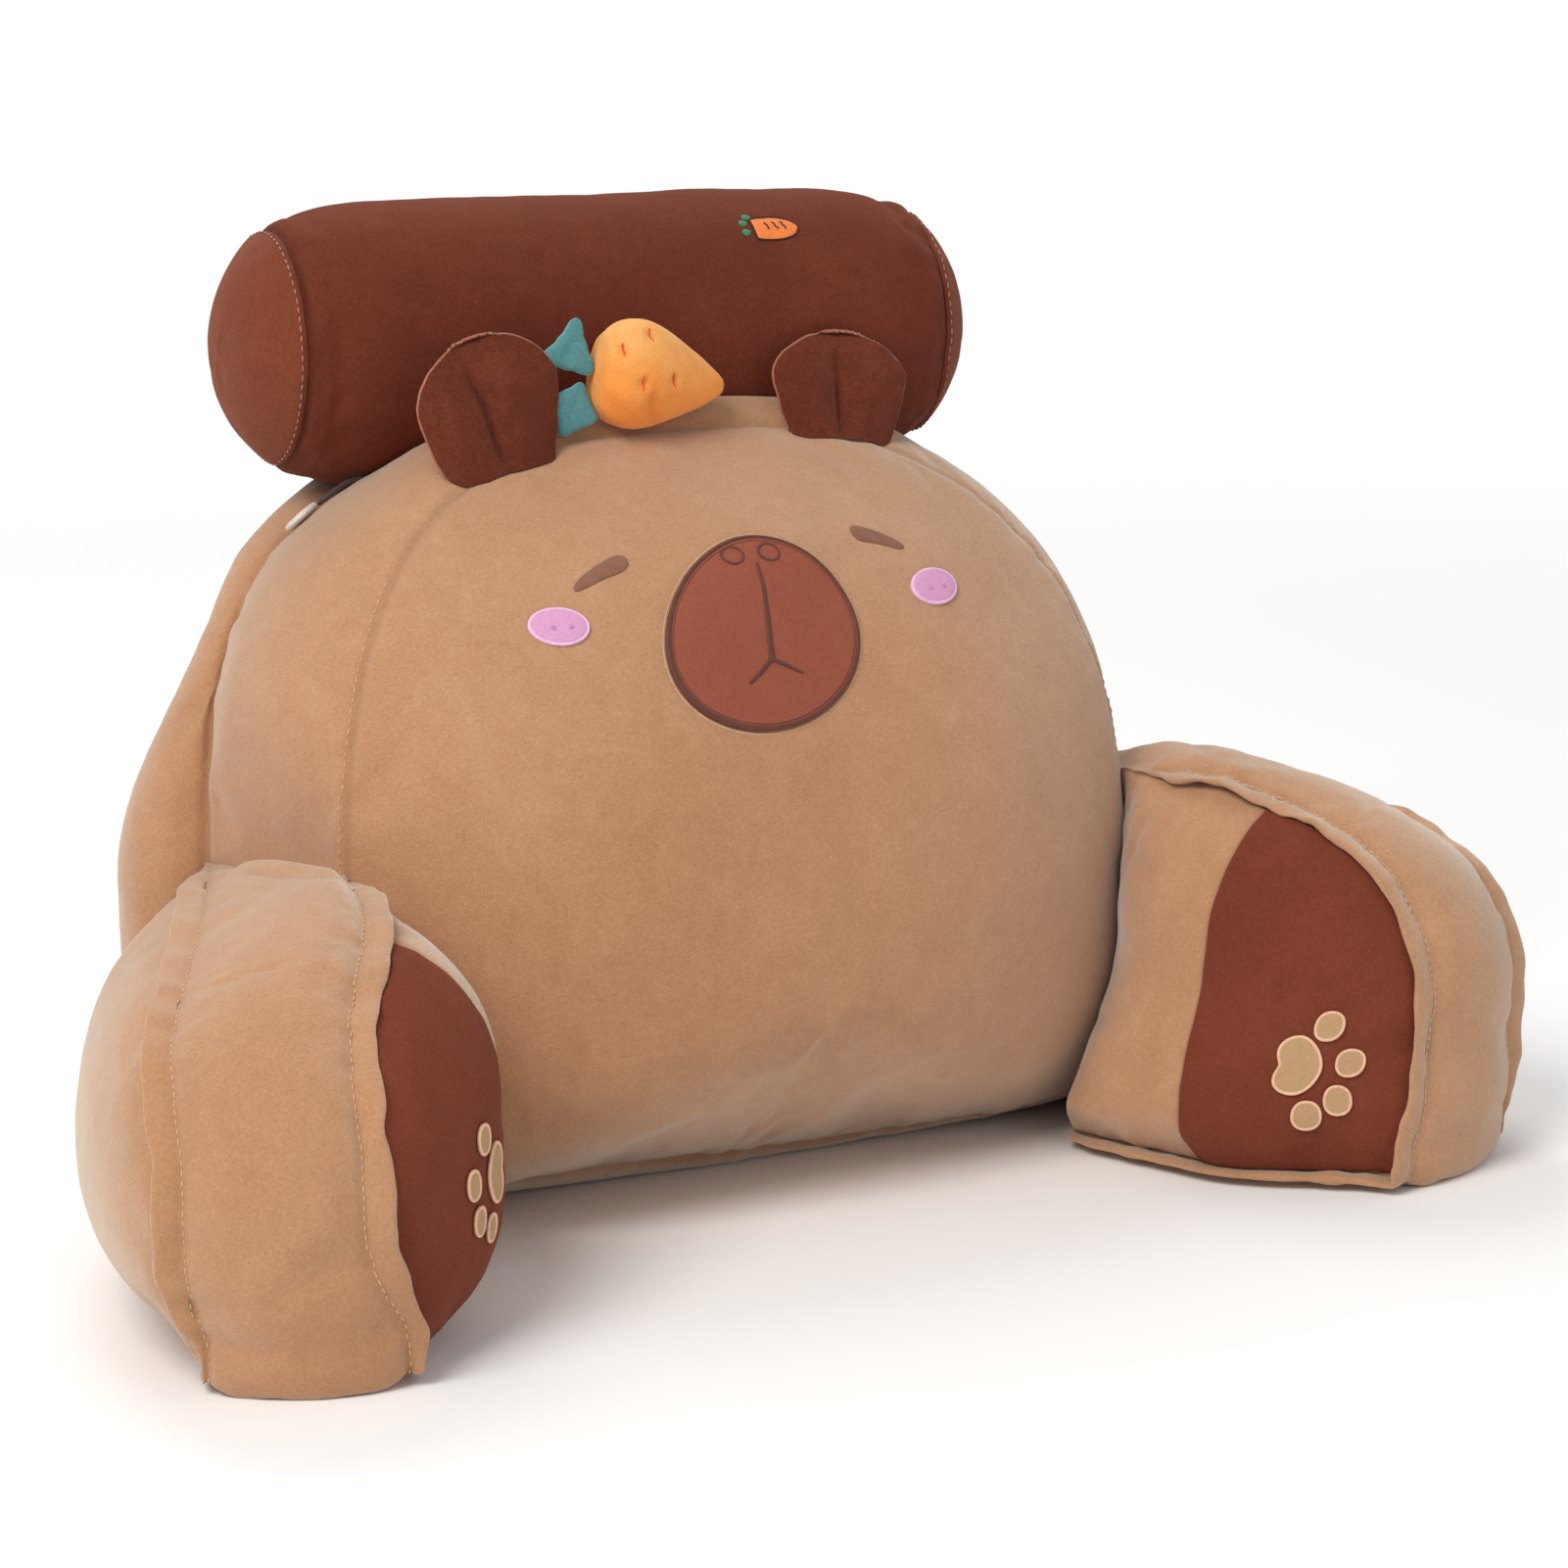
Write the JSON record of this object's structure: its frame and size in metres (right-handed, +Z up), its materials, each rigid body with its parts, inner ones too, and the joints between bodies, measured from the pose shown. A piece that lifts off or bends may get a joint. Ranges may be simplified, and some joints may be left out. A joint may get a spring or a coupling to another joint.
{
  "type": "reading pillow with arms",
  "caption": "Free-standing stuffed reading pillow: a domed back cushion with a sewn animal face and ears, an arm on each side with paw pads, a bolster buttoned on top and a stuffed carrot.",
  "frame": {"origin": "middle of the box's footprint, on the surface that the pillow stands on", "axes": "+X is the viewer's right when facing the pillow, -Y is the front, where the face looks and the arms point, +Z is up"},
  "size_m": [0.7022, 0.4133, 0.4581],
  "materials": {
    "tan_plush": "matte",
    "brown_plush": "matte",
    "dark_plush": "matte",
    "ear_plush": "matte",
    "nose_plush": "matte",
    "cheek_cloth": "matte",
    "beige_plush": "matte",
    "orange_plush": "matte",
    "teal_plush": "matte",
    "button_cloth": "matte",
    "loop_cord": "matte"
  },
  "bodies": {
    "root": {"back_cushion": "tan_plush", "arm_left": "tan_plush", "arm_right": "tan_plush", "arm_panel_left": "brown_plush", "arm_panel_right": "brown_plush", "bolster": "dark_plush", "ear_left": "ear_plush", "ear_right": "ear_plush", "nose_patch": "nose_plush", "cheek_left": "cheek_cloth", "cheek_right": "cheek_cloth", "paw_left_heel": "beige_plush", "paw_left_toe_1": "beige_plush", "paw_left_toe_2": "beige_plush", "paw_left_toe_3": "beige_plush", "paw_left_toe_4": "beige_plush", "paw_right_heel": "beige_plush", "paw_right_toe_1": "beige_plush", "paw_right_toe_2": "beige_plush", "paw_right_toe_3": "beige_plush", "paw_right_toe_4": "beige_plush", "carrot": "orange_plush", "leaf_upper": "teal_plush", "leaf_lower": "teal_plush", "button_left": "button_cloth", "button_right": "button_cloth", "loop_left": "loop_cord", "loop_right": "loop_cord"}
  },
  "joints": []
}
